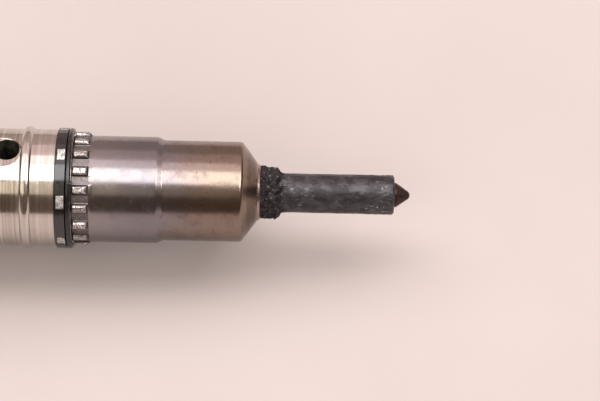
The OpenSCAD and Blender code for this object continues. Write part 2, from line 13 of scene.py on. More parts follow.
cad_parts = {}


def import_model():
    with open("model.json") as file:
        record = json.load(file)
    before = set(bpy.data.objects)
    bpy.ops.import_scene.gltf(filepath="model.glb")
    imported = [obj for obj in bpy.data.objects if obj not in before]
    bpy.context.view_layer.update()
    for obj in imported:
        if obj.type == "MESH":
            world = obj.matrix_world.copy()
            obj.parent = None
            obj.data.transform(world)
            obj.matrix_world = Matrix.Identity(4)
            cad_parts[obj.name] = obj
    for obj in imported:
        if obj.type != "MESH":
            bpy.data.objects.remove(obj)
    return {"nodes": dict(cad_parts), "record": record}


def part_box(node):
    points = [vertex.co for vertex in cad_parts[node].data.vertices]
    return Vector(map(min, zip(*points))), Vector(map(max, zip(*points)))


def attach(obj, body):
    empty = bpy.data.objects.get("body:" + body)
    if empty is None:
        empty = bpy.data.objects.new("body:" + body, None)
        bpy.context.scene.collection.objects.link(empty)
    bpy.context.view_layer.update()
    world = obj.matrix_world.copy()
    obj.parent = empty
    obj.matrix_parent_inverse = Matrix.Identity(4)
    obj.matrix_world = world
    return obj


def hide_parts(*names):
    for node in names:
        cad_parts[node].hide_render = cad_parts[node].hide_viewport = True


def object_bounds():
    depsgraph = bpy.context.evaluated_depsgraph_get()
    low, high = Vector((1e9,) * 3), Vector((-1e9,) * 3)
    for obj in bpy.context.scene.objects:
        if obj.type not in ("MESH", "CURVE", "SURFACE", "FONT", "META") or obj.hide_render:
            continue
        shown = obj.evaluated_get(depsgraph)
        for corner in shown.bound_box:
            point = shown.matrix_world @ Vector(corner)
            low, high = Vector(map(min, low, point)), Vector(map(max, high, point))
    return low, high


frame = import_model()
cad_low, cad_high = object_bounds()
MM = 0.001
TURN = 2 * math.pi
TINY = 1e-6
SHARP_EDGE = math.radians(32)


# ---- Places, read from the frame ----

def span(node):
    """A CAD node's back and front stations and its radius."""
    low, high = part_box(node)
    return low.x / MM, high.x / MM, high.z / MM


NUT_BACK, NOSE_END, TOOTH_TIP_R = span("nozzle_cap_nut")
_, TIP_END, _ = span("nozzle_body")
BODY_BACK, BODY_FRONT, UPPER_R = span("injector_body")
RING_BACK, RING_FRONT, RING_R = span("slotted_ring")
SEAL_BACK, SEAL_FRONT, SEAL_R = span("nut_o_ring")
GALLERY_BACK, GALLERY_FRONT, _ = span("gallery_o_ring")
UPPER_SEAL_BACK, UPPER_SEAL_FRONT, UPPER_SEAL_R = span("upper_o_ring")
SLEEVE_BACK, SLEEVE_FRONT, SLEEVE_FLANGE_R = span("solenoid_sleeve")
HEX_BACK, HEX_FRONT, HEX_R = span("solenoid_nut")
_, CAP_FRONT, CAP_R = span("connector_cap")
STUD_BACK, _, _ = span("terminal_studs")
WASHER_BACK, WASHER_FRONT, WASHER_R = span("terminal_washers")
TERMINAL_NUT_BACK, TERMINAL_NUT_FRONT, TERMINAL_NUT_R = span("terminal_nuts")

# Nozzle
STEM_R = 3.5
STEM_END = 27.74
STEM_CHAMFER = 0.3
COLLAR_R = 4.45
COLLAR_END = 6.84
TIP_R = 2.15
TIP_ROUND = 0.9
TIP_HALF_ANGLE = math.radians(35)
NOZZLE_BACK = NOSE_END - 1.5
CRUST_BACK = NOSE_END - 0.2
CRUST_FRONT = COLLAR_END + 2.6
SPRAY_HOLES = 8
SPRAY_HOLE_R = 0.11
SPRAY_STATION = 28.59
SPRAY_LEAN = math.radians(17)

# Cap nut
NUT_LOWER_R = 8.95
NUT_UPPER_R = 9.5
NUT_STEP_FRONT = -13.4
NUT_STEP_BACK = -14.5
NOSE_BORE_R = 4.6
NOSE_THICKNESS = 5
NOSE_SHOULDER = (0.81, 8.52)
NUT_BORE_R = 8.3
TOOTH_COUNT = 18
TOOTH_FRONT = -26.32
TOOTH_BACK = -29.14
TOOTH_TOP_HALF = math.radians(2.6)
TOOTH_FOOT_HALF = math.radians(5.6)

# Injector body
BODY_R = 10.45
BODY_BORE_R = 5
SPIGOT_R = 8.2
MIDDLE_R = 12.4
PIECE_GAP = 0.02
RIDGE_FRONT = -36.6
RIDGE_BACK = -38.5
RIDGE_R = 10.95
INLET = -41.6
INLET_MOUTH_R = 3.2
INLET_MOUTH_DEPTH = 0.6
INLET_SEAT_R = 2.3
INLET_WORN = 0.6
INLET_BORE_R = 1.5
GALLERY_SEAL = (GALLERY_BACK + GALLERY_FRONT) / 2
UPPER_SEAL = (UPPER_SEAL_BACK + UPPER_SEAL_FRONT) / 2
SEAL_TUBE_R = (SEAL_FRONT - SEAL_BACK) / 2
UPPER_SEAL_TUBE_R = (UPPER_SEAL_FRONT - UPPER_SEAL_BACK) / 2
GROOVE_R = SEAL_R - 2 * SEAL_TUBE_R
UPPER_GROOVE_R = UPPER_SEAL_R - 2 * UPPER_SEAL_TUBE_R
TAPER_FRONT = -57
TAPER_BACK = -59.3
RETURN_PORT = -62.5
RETURN_ANGLE = math.radians(45)
RETURN_PORT_R = 1.3
UPPER_START = -70
RELIEF_FRONT = -94
RELIEF_BACK = -96
RELIEF_DEPTH = 0.4
UPPER_END = -116
CLAMP_FRONT = -98
CLAMP_BACK = -110
CLAMP_HALF = 10
BODY_THREAD_R = 11.2
CHAMBER_R = 6.5
CHAMBER_DEPTH = 6

# Slotted ring
WINDOW_COUNT = 7
FIRST_WINDOW = math.radians(-44)
WINDOW_PITCH = math.radians(48)
WINDOW_HALF = math.radians(6.5)
WINDOW_FRONT = -30.55
WINDOW_BACK = -32

# Head
SLEEVE_R = 10.2
SLEEVE_BORE_R = 8.65
FLANGE_BACK = -131.5
HEX_CORNER_R = 15.1
HEX_NECK_FRONT = -130.4
HEX_NECK_BACK = -132
CROWN = -154
TOWER_BACK = -158
TOWER_R = 4.4
TOWER_BORE_R = 2.62
STUD_Y = 5.5
STUD_R = 1.98
STUD_SHOULDER_R = 3.4
STUD_FOOT_R = 2.58
THREAD_DEPTH = 0.30
THREAD_PITCH = 0.7
TERMINAL_NUT_ROUND_R = 4.1

# Light, in metres
MIDDLE_X = -0.02
LEFT_X = -0.87
RIGHT_X = 0.70
WHITE = (1.0, 0.985, 0.975)


# ---- Mesh building ----

def arc(centre_x, centre_r, radius, start, end, steps):
    """Outline points on an arc. Angles in degrees from the +X direction."""
    points = []
    for i in range(steps + 1):
        angle = math.radians(start + (end - start) * i / steps)
        points.append((centre_x + radius * math.cos(angle), centre_r + radius * math.sin(angle)))
    return points


def rounded(outline, radius, steps=3, closed=False):
    """The outline with each corner rounded, and a point on each side that keeps flat stretches flat."""
    least_turn = math.radians(12)
    longest = 0.4
    count = len(outline)
    result = []
    for i, point in enumerate(outline):
        if not closed and i in (0, count - 1):
            result.append(point)
            continue
        here = Vector(point)
        before = Vector(outline[i - 1]) - here
        after = Vector(outline[(i + 1) % count]) - here
        if before.length < TINY or after.length < TINY:
            result.append(point)
            continue
        turn = math.pi - before.angle(after)
        if turn < least_turn:
            result.append(point)
            continue
        reach = min(radius * math.tan(turn / 2), longest * before.length, longest * after.length)
        start = here + before.normalized() * reach
        end = here + after.normalized() * reach
        guard = 0.2 * reach
        result.append(tuple(start + before.normalized() * guard))
        for k in range(steps + 1):
            t = k / steps
            result.append(tuple(start * (1 - t) ** 2 + here * 2 * t * (1 - t) + end * t ** 2))
        result.append(tuple(end + after.normalized() * guard))
    return result


def with_rows(outline, first, last, pitch):
    """The outline with extra points, so that none of its steps between two stations is over a pitch."""
    result = [outline[0]]
    for (x0, r0), (x1, r1) in zip(outline, outline[1:]):
        inside = min(x0, x1) >= min(first, last) - TINY and max(x0, x1) <= max(first, last) + TINY
        parts = max(1, math.ceil(math.hypot(x1 - x0, r1 - r0) / pitch)) if inside else 1
        for k in range(1, parts + 1):
            t = k / parts
            result.append((x0 + (x1 - x0) * t, r0 + (r1 - r0) * t))
    return result


def polar(x, r, angle, side=0.0):
    """A point at a station, radius and angle, about an axis that is offset sideways (+Y)."""
    return Vector((x, side - r * math.sin(angle), r * math.cos(angle)))


def make_object(name, points, faces):
    """A smooth mesh object from points in millimetres."""
    mesh = bpy.data.meshes.new(name)
    mesh.from_pydata([Vector(p) * MM for p in points], [], faces)
    mesh.polygons.foreach_set("use_smooth", [True] * len(mesh.polygons))
    mesh.update()
    piece = bpy.data.objects.new(name, mesh)
    bpy.context.scene.collection.objects.link(piece)
    return piece


def even_angles(count):
    """Angles at equal steps round the axis."""
    return [TURN * k / count for k in range(count)]


def lathe(name, outline, angles, closed=False, shape=None, side=0.0):
    """Turns an outline of (station, radius) about the axis. shape(x, angle, r) may change the radius."""
    points = []
    rings = []
    for x, r in outline:
        if r < TINY:
            rings.append([len(points)] * len(angles))
            points.append(polar(x, 0, 0, side))
            continue
        rings.append(list(range(len(points), len(points) + len(angles))))
        for angle in angles:
            points.append(polar(x, shape(x, angle, r) if shape else r, angle, side))
    faces = []
    pairs = list(zip(rings, rings[1:]))
    if closed:
        pairs.append((rings[-1], rings[0]))
    for near, far in pairs:
        for k in range(len(angles)):
            n = (k + 1) % len(angles)
            corners = [near[k], near[n], far[n], far[k]]
            unique = list(dict.fromkeys(corners))
            if len(unique) > 2:
                faces.append(unique)
    return make_object(name, points, faces)


def outward(piece):
    """Makes the piece's faces point outwards."""
    sheet = bmesh.new()
    sheet.from_mesh(piece.data)
    bmesh.ops.recalc_face_normals(sheet, faces=sheet.faces)
    sheet.to_mesh(piece.data)
    sheet.free()
    return piece


def cut(piece, cutters):
    """Cuts other objects out of a piece, and deletes them."""
    bpy.context.view_layer.objects.active = piece
    for cutter in cutters:
        outward(cutter)
        modifier = piece.modifiers.new("cut", "BOOLEAN")
        modifier.operation = "DIFFERENCE"
        modifier.solver = "EXACT"
        modifier.object = cutter
        bpy.ops.object.modifier_apply(modifier="cut")
        bpy.data.objects.remove(cutter)
    piece.data.set_sharp_from_angle(angle=SHARP_EDGE)


def port_cutter(name, outline, station, angle, side=0.0, lean=0.0, columns=72):
    """A turned cutter that stands out of the axis at a station and an angle, and may lean towards +X.

    The outline is of (height, radius).
    """
    cutter = lathe(name, outline, even_angles(columns), side=side)
    cutter.data.transform(Matrix.Rotation(lean, 4, "Y") @ Matrix.Rotation(-math.pi / 2, 4, "Y"))
    cutter.data.transform(Matrix.Rotation(angle, 4, "X"))
    cutter.data.transform(Matrix.Translation((station * MM, 0, 0)))
    return cutter


def joined(name, parts):
    """One object from several."""
    bpy.ops.object.select_all(action="DESELECT")
    for part in parts:
        part.select_set(True)
    bpy.context.view_layer.objects.active = parts[0]
    bpy.ops.object.join()
    parts[0].select_set(False)
    parts[0].name = name
    parts[0].data.name = name
    return parts[0]


def roughly(x, angle, r, scale, seed=0.0):
    """Smooth noise from -1 to 1 over a turned surface."""
    place = Vector((x, r * math.sin(angle), r * math.cos(angle)))
    return noise.noise(place * scale + Vector((seed, 0, 0)))


def share(low, high, value):
    """How far a value is from low to high, kept from 0 to 1."""
    return min(1.0, max(0.0, (value - low) / (high - low)))


def smooth_step(low, high, value):
    """The share from low to high, eased at both ends."""
    t = share(low, high, value)
    return t * t * (3 - 2 * t)


# ---- Shading ----

class Shader:
    """One material, with short ways to add its nodes. Its coordinates are in millimetres."""

    def __init__(self, name, **settings):
        self.material = bpy.data.materials.new(name)
        self.material.use_nodes = True
        self.tree = self.material.node_tree
        self.surface = self.tree.nodes["Principled BSDF"]
        for key, value in settings.items():
            self.surface.inputs[key.replace("_", " ")].default_value = value
        self.place = self.stretched((1, 1, 1), self.node("TexCoord").outputs["Object"], 1 / MM)

    def put(self, target, value):
        """Links a socket to an input, or sets the input to a number or a colour."""
        if isinstance(value, bpy.types.NodeSocket):
            self.tree.links.new(value, target)
        elif value is not None:
            target.default_value = value

    def node(self, kind, **inputs):
        """A new node. An input's name has _ for each space."""
        node = self.tree.nodes.new("ShaderNode" + kind)
        for name, value in inputs.items():
            self.put(node.inputs[name.replace("_", " ")], value)
        return node

    def stretched(self, stretch, place=None, scale=1.0):
        """The coordinates, times a factor along each axis."""
        node = self.node("VectorMath")
        node.operation = "MULTIPLY"
        self.put(node.inputs[0], place or self.place)
        node.inputs[1].default_value = [s * scale for s in stretch]
        return node.outputs[0]

    def station(self):
        """The place along X."""
        return self.node("SeparateXYZ", Vector=self.place).outputs["X"]

    def radius(self):
        """The distance from the axis."""
        node = self.node("VectorMath")
        node.operation = "LENGTH"
        self.put(node.inputs[0], self.stretched((0, 1, 1)))
        return node.outputs["Value"]

    def noise(self, scale, detail=3.0, stretch=(1, 1, 1), roughness=0.55, distortion=0.0):
        node = self.node("TexNoise", Vector=self.stretched(stretch), Scale=scale, Detail=detail,
                         Roughness=roughness, Distortion=distortion)
        return node.outputs["Fac"]

    def rings(self, per_mm, detail=2.0, seed=0.0):
        """Noise that changes only along the axis, as turning marks do."""
        node = self.node("TexNoise", Scale=per_mm, Detail=detail, Roughness=0.6)
        node.noise_dimensions = "1D"
        self.put(node.inputs["W"], self.math("ADD", self.station(), seed))
        return node.outputs["Fac"]

    def math(self, operation, a, b):
        node = self.node("Math")
        node.operation = operation
        self.put(node.inputs[0], a)
        self.put(node.inputs[1], b)
        return node.outputs[0]

    def between(self, value, low, high, out_low=0.0, out_high=1.0):
        """Takes a value from low and high smoothly to out_low and out_high."""
        node = self.node("MapRange", Value=value, From_Min=low, From_Max=high, To_Min=out_low,
                         To_Max=out_high)
        node.interpolation_type = "SMOOTHSTEP"
        return node.outputs["Result"]

    def mix(self, factor, a, b):
        """Goes from colour a to colour b as the factor goes from 0 to 1."""
        node = self.node("Mix")
        node.data_type = "RGBA"
        self.put(node.inputs["Factor"], factor)
        for name, colour in (("A", a), ("B", b)):
            self.put(node.inputs[name], colour if isinstance(colour, bpy.types.NodeSocket) else (*colour, 1))
        return node.outputs["Result"]

    def bump(self, height, strength, distance=0.05, normal=None):
        """A normal that follows a height."""
        node = self.node("Bump", Strength=strength, Distance=distance * MM, Height=height, Normal=normal)
        return node.outputs["Normal"]

    def soft_edges(self, radius):
        """A normal that rounds sharp edges."""
        node = self.node("Bevel", Radius=radius * MM)
        node.samples = 6
        return node.outputs["Normal"]

    def turned_tangent(self):
        """Stretches reflections as marks round the axis do."""
        node = self.node("Tangent")
        node.direction_type = "RADIAL"
        node.axis = "X"
        self.put(self.surface.inputs["Tangent"], node.outputs["Tangent"])

    def finish(self, colour, roughness, normal):
        self.put(self.surface.inputs["Base Color"], colour)
        self.put(self.surface.inputs["Roughness"], roughness)
        self.put(self.surface.inputs["Normal"], normal)
        return self.material


def body_steel():
    """Fine-turned bright steel: stripes round it, clearer behind the ridge, and a few rubbed clouds."""
    s = Shader("body_steel", Metallic=1.0, Anisotropic=0.4)
    s.turned_tangent()
    broad = s.rings(0.9, 3.0)
    stripe = s.between(s.rings(2.4, 2.0, 7), 0.42, 0.60)
    fine = s.rings(6.0, 3.0, 40)
    cloud = s.noise(0.22, 4.0)
    upper = s.between(s.station(), RIDGE_BACK + 0.2, RIDGE_BACK - 0.6, 0.20, 0.58)
    upper = s.math("MINIMUM", upper, s.between(s.station(), TAPER_BACK, TAPER_BACK + 6, 0.30, 0.60))
    colour = s.mix(s.between(broad, 0.35, 0.68), (0.60, 0.545, 0.50), (0.72, 0.68, 0.645))
    colour = s.mix(s.math("MULTIPLY", stripe, upper), colour, (0.40, 0.35, 0.30))
    colour = s.mix(s.between(fine, 0.40, 0.66, 0.0, 0.3), colour, (0.50, 0.45, 0.41))
    colour = s.mix(s.between(cloud, 0.52, 0.75, 0.0, 0.35), colour, (0.45, 0.39, 0.34))
    roughness = s.math("ADD", s.between(fine, 0.35, 0.7, 0.10, 0.20), s.between(cloud, 0.45, 0.7, 0.0, 0.09))
    scratch = s.between(s.noise(1.0, 2.0, (7.0, 0.5, 0.5)), 0.66, 0.70)
    normal = s.soft_edges(0.12)
    normal = s.bump(fine, 0.10, 0.01, normal)
    normal = s.bump(scratch, 0.12, 0.01, normal)
    return s.finish(colour, roughness, normal)


def painted_port_shade():
    """Painted shade inside the fuel ports: near black, faintly mottled."""
    s = Shader("painted_port_shade", Specular_IOR_Level=0.4)
    port_shade_mottle = s.noise(1.2, 4.0)
    # Painted shade: a near-black colour for the ports' inner faces, with slight mottling.
    colour = s.mix(s.between(port_shade_mottle, 0.4, 0.65), (0.006, 0.006, 0.004), (0.022, 0.020, 0.012))
    return s.finish(colour, s.between(port_shade_mottle, 0.35, 0.7, 0.30, 0.55), s.bump(s.noise(4.0, 3.0), 0.2, 0.03))


def nut_steel():
    """Dull ground steel: blue-grey, browned by heat towards the nozzle, with dark specks, a darker band round
    the nose cone and a painted pale reflection band beside it.
    """
    s = Shader("nut_steel", Metallic=1.0, Anisotropic=0.1)
    s.turned_tangent()
    x = s.station()
    lower = s.between(x, NUT_STEP_BACK, NUT_STEP_FRONT)
    drift = s.between(s.noise(0.22, 4.0), 0.3, 0.7, -2.5, 2.5)
    heat = s.between(s.math("ADD", x, drift), -19.0, -3.0)
    cloud = s.noise(0.5, 5.0, roughness=0.62, distortion=0.3)
    fine = s.rings(7.0, 3.0, 11)
    colour = s.mix(s.between(x, -26.0, -16.0), (0.290, 0.265, 0.262), (0.238, 0.222, 0.242))
    colour = s.mix(heat, colour, (0.262, 0.196, 0.158))
    stained = s.math("MULTIPLY", s.between(cloud, 0.47, 0.68), s.between(lower, 0.0, 1.0, 0.12, 0.5))
    colour = s.mix(stained, colour, (0.150, 0.106, 0.082))
    colour = s.mix(s.between(fine, 0.4, 0.7, 0.0, 0.16), colour, (0.37, 0.335, 0.32))
    # A darker band round the nose cone, from station about 1.3 to 3.2.
    dark_cone_band = s.math("MULTIPLY", s.between(x, 1.3, 1.8), s.between(x, 3.2, 2.8))
    colour = s.mix(s.math("MULTIPLY", dark_cone_band, 0.6), colour, (0.115, 0.080, 0.064))
    # Painted highlight: a pale reflection band round the nose cone, from station 3.15 to 3.35.
    colour = s.mix(s.between(x, 3.15, 3.35, 0.0, 0.6), colour, (0.46, 0.36, 0.31))
    speck = s.math("MULTIPLY", s.between(s.noise(1.7, 3.0, roughness=0.7), 0.672, 0.70),
                   s.between(lower, 0.0, 1.0, 0.35, 1.0))
    colour = s.mix(speck, colour, (0.022, 0.016, 0.014))
    roughness = s.math("ADD", s.between(cloud, 0.4, 0.7, 0.20, 0.28), s.math("MULTIPLY", speck, 0.35))
    normal = s.bump(fine, 0.10, 0.01)
    normal = s.bump(s.noise(3.0, 3.0), 0.035, 0.02, normal)
    normal = s.bump(speck, -0.5, 0.04, normal)
    return s.finish(colour, roughness, normal)


def tooth_steel():
    """The nut's wrench teeth: lands scraped bright by sockets, duller roots, and painted shade on the flanks.
    """
    s = Shader("tooth_steel", Metallic=1.0)
    bruise = s.noise(3.2, 4.0, (1.6, 0.8, 0.8), 0.65, 0.6)
    high = s.between(s.radius(), NUT_UPPER_R + 0.22, TOOTH_TIP_R - 0.12)
    bright = s.mix(s.between(bruise, 0.44, 0.56), (0.80, 0.77, 0.75), (0.22, 0.19, 0.19))
    # Painted shade: the flanks, between root and land, get a near-black colour.
    flank_shade = s.between(s.radius(), NUT_UPPER_R + 0.03, NUT_UPPER_R + 0.14)
    root = s.mix(s.between(bruise, 0.42, 0.62), (0.235, 0.212, 0.212), (0.150, 0.128, 0.126))
    colour = s.mix(flank_shade, root, (0.060, 0.048, 0.047))
    colour = s.mix(high, colour, bright)
    roughness = s.math("ADD", s.between(bruise, 0.35, 0.7, 0.24, 0.5), s.between(high, 0.0, 1.0, 0.12, 0.0))
    normal = s.bump(bruise, 0.7, 0.10)
    return s.finish(colour, roughness, normal)


def lug_steel():
    """Pale scratched metal, seen through the windows of the slotted ring."""
    s = Shader("lug_steel", Metallic=0.8)
    streak = s.noise(2.2, 3.0, (1.0, 0.7, 0.7), 0.6, 0.8)
    colour = s.mix(s.between(streak, 0.40, 0.58), (0.80, 0.78, 0.75), (0.34, 0.32, 0.31))
    return s.finish(colour, s.between(streak, 0.35, 0.65, 0.36, 0.52), s.bump(streak, 0.5, 0.05))


def sooted_steel():
    """Nozzle steel under baked soot: a black crust at its root and a graphite sheen along the stem."""
    s = Shader("sooted_steel", Metallic=0.6, Specular_IOR_Level=0.35)
    x = s.station()
    crust = s.between(x, COLLAR_END + 1.7, COLLAR_END + 0.4)
    mottle = s.noise(0.55, 6.0, (0.7, 1.0, 1.0), 0.66, 0.3)
    grain = s.noise(5.0, 4.0, roughness=0.7)
    colour = s.mix(s.between(mottle, 0.40, 0.64), (0.034, 0.029, 0.032), (0.074, 0.067, 0.073))
    rubbed = s.math("MULTIPLY", s.between(s.noise(1.5, 5.0, (0.7, 1, 1), 0.7), 0.56, 0.66),
                    s.between(s.noise(0.25, 2.0), 0.45, 0.60))
    colour = s.mix(rubbed, colour, (0.17, 0.16, 0.175))
    scraped = s.math("MULTIPLY", s.between(s.noise(2.0, 2.0, (0.8, 1, 1)), 0.68, 0.72),
                     s.between(x, 20.0, 23.0))
    colour = s.mix(scraped, colour, (0.42, 0.40, 0.42))
    colour = s.mix(crust, colour, (0.022, 0.017, 0.019))
    fleck = s.math("MULTIPLY", crust, s.between(s.noise(2.4, 5.0, roughness=0.72), 0.57, 0.66))
    colour = s.mix(fleck, colour, (0.19, 0.17, 0.18))
    colour = s.mix(s.between(x, STEM_END - 0.1, STEM_END + 0.2), colour, (0.040, 0.020, 0.017))
    roughness = s.math("ADD", s.between(mottle, 0.35, 0.7, 0.44, 0.33), s.math("MULTIPLY", crust, 0.14))
    normal = s.bump(mottle, 0.25, 0.08)
    normal = s.bump(grain, 0.30, 0.04, normal)
    return s.finish(colour, roughness, normal)


def seal_rubber():
    """Smooth black rubber with an oily film and some dust."""
    s = Shader("seal_rubber", Specular_IOR_Level=0.6)
    dust = s.noise(1.8, 5.0, roughness=0.7)
    colour = s.mix(s.between(dust, 0.58, 0.78, 0.0, 0.3), (0.006, 0.005, 0.006), (0.034, 0.028, 0.027))
    roughness = s.between(dust, 0.35, 0.7, 0.14, 0.34)
    return s.finish(colour, roughness, s.bump(s.noise(9.0, 3.0), 0.12, 0.02))


def ring_plastic():
    """Black filled plastic, polished by handling."""
    s = Shader("ring_plastic", Specular_IOR_Level=0.9)
    wear = s.noise(2.6, 4.0)
    colour = s.mix(s.between(wear, 0.5, 0.7, 0.0, 0.4), (0.004, 0.003, 0.004), (0.024, 0.019, 0.019))
    roughness = s.between(wear, 0.35, 0.7, 0.11, 0.24)
    return s.finish(colour, roughness, s.bump(s.noise(8.0, 2.0), 0.08, 0.02))


def cap_plastic():
    """Moulded black plastic with glass filling: a fine even grain and pale rubbed patches."""
    s = Shader("cap_plastic", Specular_IOR_Level=0.45)
    grain = s.noise(7.0, 3.0, roughness=0.7)
    patch = s.noise(0.35, 5.0, roughness=0.6)
    colour = s.mix(s.between(patch, 0.48, 0.72), (0.014, 0.014, 0.016), (0.048, 0.047, 0.050))
    roughness = s.math("ADD", s.between(patch, 0.4, 0.7, 0.38, 0.55), s.between(grain, 0.3, 0.7, -0.04, 0.06))
    return s.finish(colour, roughness, s.bump(grain, 0.35, 0.03, s.soft_edges(0.15)))


def plated_steel():
    """The solenoid nut and washers: dull plating with darker stains and rubbed corners."""
    s = Shader("plated_steel", Metallic=1.0)
    stain = s.noise(0.4, 5.0, roughness=0.65)
    grain = s.noise(5.0, 3.0)
    colour = s.mix(s.between(stain, 0.42, 0.68), (0.58, 0.57, 0.56), (0.36, 0.335, 0.305))
    colour = s.mix(s.between(grain, 0.55, 0.72, 0.0, 0.5), colour, (0.68, 0.66, 0.63))
    roughness = s.math("ADD", s.between(stain, 0.35, 0.7, 0.26, 0.42),
                       s.between(grain, 0.3, 0.7, -0.03, 0.05))
    return s.finish(colour, roughness, s.bump(grain, 0.16, 0.03, s.soft_edges(0.2)))


def terminal_brass():
    """Brass, tarnished in its hollows."""
    s = Shader("terminal_brass", Metallic=1.0)
    tarnish = s.noise(1.3, 5.0, roughness=0.65)
    colour = s.mix(s.between(tarnish, 0.40, 0.66), (0.78, 0.58, 0.27), (0.40, 0.26, 0.11))
    roughness = s.between(tarnish, 0.35, 0.7, 0.24, 0.44)
    return s.finish(colour, roughness, s.bump(s.noise(7.0, 3.0), 0.12, 0.02, s.soft_edges(0.08)))


def copper():
    """Copper, as lacquered wire or soft washers."""
    s = Shader("copper", Metallic=1.0)
    turns = s.rings(5.0, 0.0)
    colour = s.mix(s.between(turns, 0.4, 0.6), (0.60, 0.27, 0.14), (0.74, 0.37, 0.22))
    return s.finish(colour, s.between(turns, 0.3, 0.7, 0.22, 0.38), s.bump(turns, 0.4, 0.05))


def plain_metal(name, light, dark, rough):
    """The inner steel and iron pieces: ground or sintered, in one of several tones."""
    s = Shader(name, Metallic=1.0)
    tone = s.noise(0.8, 5.0)
    fine = s.rings(8.0, 2.0)
    colour = s.mix(s.between(tone, 0.38, 0.68), light, dark)
    roughness = s.math("ADD", s.between(fine, 0.3, 0.7, rough, rough + 0.1),
                       s.between(tone, 0.4, 0.7, 0.0, 0.08))
    return s.finish(colour, roughness, s.bump(fine, 0.10, 0.01, s.soft_edges(0.05)))


def floor_paper():
    """Pale paper, faintly mottled."""
    s = Shader("floor_paper", Specular_IOR_Level=0.2)
    cloud = s.noise(0.012, 4.0)
    fibre = s.noise(1.3, 3.0)
    colour = s.mix(s.between(cloud, 0.35, 0.65), (0.455, 0.395, 0.378), (0.480, 0.420, 0.402))
    return s.finish(colour, 0.85, s.bump(fibre, 0.08, 0.05))


MATERIALS = {
    "body_steel": body_steel(),
    # Painted shade for the inner faces of the fuel inlet.
    "painted_port_shade": painted_port_shade(),
    "nut_steel": nut_steel(),
    "tooth_steel": tooth_steel(),
    "lug_steel": lug_steel(),
    "sooted_steel": sooted_steel(),
    "hard_steel": plain_metal("hard_steel", (0.62, 0.62, 0.63), (0.48, 0.47, 0.47), 0.16),
    "spring_steel": plain_metal("spring_steel", (0.36, 0.36, 0.39), (0.20, 0.19, 0.20), 0.28),
    "core_iron": plain_metal("core_iron", (0.36, 0.35, 0.35), (0.25, 0.23, 0.22), 0.42),
    "seal_rubber": seal_rubber(),
    "ring_plastic": ring_plastic(),
    "cap_plastic": cap_plastic(),
    "plated_steel": plated_steel(),
    "terminal_brass": terminal_brass(),
    "copper": copper(),
}


def finish_piece(piece, material, slot, *nodes):
    """Gives a piece its material and its place in the model."""
    piece.data.materials.clear()
    piece.data.materials.append(MATERIALS[material])
    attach(piece, "injector")
    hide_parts(*nodes)


def coat(piece, material, chosen):
    """Gives a second material to the faces that chosen(x, y, z) picks by their middles."""
    piece.data.materials.append(MATERIALS[material])
    for face in piece.data.polygons:
        if chosen(*(face.center / MM)):
            face.material_index = 1


# ---- Nozzle ----

def nozzle():
    """The nozzle's visible end: a crusted root collar, the stem and the tip. Its back is closed."""
    tip_centre = TIP_END - TIP_ROUND
    foot = tip_centre + TIP_ROUND * math.sin(TIP_HALF_ANGLE)
    foot -= (TIP_R - TIP_ROUND * math.cos(TIP_HALF_ANGLE)) / math.tan(TIP_HALF_ANGLE)
    outline = arc(tip_centre, 0, TIP_ROUND, 0, 90 - math.degrees(TIP_HALF_ANGLE), 10)
    outline[0] = (TIP_END, 0)
    edges = [outline[-1], (foot, TIP_R), (STEM_END, TIP_R), (STEM_END, STEM_R - STEM_CHAMFER),
             (STEM_END - STEM_CHAMFER, STEM_R), (CRUST_FRONT, STEM_R), (CRUST_BACK, STEM_R)]
    outline += rounded(edges, 0.18)[1:]
    outline = with_rows(outline, CRUST_BACK, CRUST_FRONT, 0.09)
    outline = with_rows(outline, CRUST_FRONT, TIP_END, 0.25)
    outline += [(NOZZLE_BACK, COLLAR_R), (NOZZLE_BACK, 0)]

    def crusted(x, angle, r):
        if x < NOSE_END - 0.5:
            return r
        soot = roughly(x, angle, r, 0.7, 31) * 0.03 + roughly(x, angle, r, 2.2, 37) * 0.018
        flakes = abs(roughly(x, angle, r, 1.1, 53)) * 0.10
        soot += flakes * smooth_step(16, 20, x) * smooth_step(STEM_END, STEM_END - 0.6, x)
        soot *= smooth_step(TIP_END, TIP_END - 1.2, x)
        if x > COLLAR_END + 2.4:
            return r + soot
        edge = COLLAR_END + 0.15 + 1.1 * roughly(0, angle, COLLAR_R, 0.7, 17)
        collar = smooth_step(edge + 0.42, edge - 0.18, x)
        foot = smooth_step(edge + 1.8, edge, x) * (0.16 + 0.55 * roughly(x, angle, STEM_R, 1.3, 23))
        lumps = 0.40 * roughly(x, angle, COLLAR_R, 0.75, 3) + 0.34 * roughly(x, angle, COLLAR_R, 1.7, 9)
        lumps += 0.26 * abs(roughly(x, angle, COLLAR_R, 3.4, 5)) - 0.04
        return STEM_R + soot + max(0.0, foot) * (1 - collar) + collar * (COLLAR_R - STEM_R + lumps)

    piece = lathe("nozzle", outline, even_angles(220), shape=crusted)
    hole = [(0.9, 0), (0.9, SPRAY_HOLE_R), (3.0, SPRAY_HOLE_R), (3.0, 0)]
    cut(outward(piece), [port_cutter("spray_hole", hole, SPRAY_STATION, angle, lean=SPRAY_LEAN, columns=16)
                         for angle in even_angles(SPRAY_HOLES)])
    finish_piece(piece, "sooted_steel", "sooted_steel", "nozzle_body")


# ---- Cap nut ----

def tooth_angles():
    """Angles that follow the wrench teeth: close together on the flanks."""
    half = TURN / TOOTH_COUNT / 2
    top, foot = TOOTH_TOP_HALF, TOOTH_FOOT_HALF
    steps = [0, 0.3 * top, 0.6 * top, 0.85 * top, top, top + 0.12 * (foot - top), top + 0.3 * (foot - top),
             (top + foot) / 2, top + 0.7 * (foot - top), top + 0.88 * (foot - top), foot,
             foot + 0.25 * (half - foot), foot + 0.6 * (half - foot)]
    one = [-a for a in reversed(steps[1:])] + steps + [half]
    return [i * 2 * half + a for i in range(TOOTH_COUNT) for a in one]


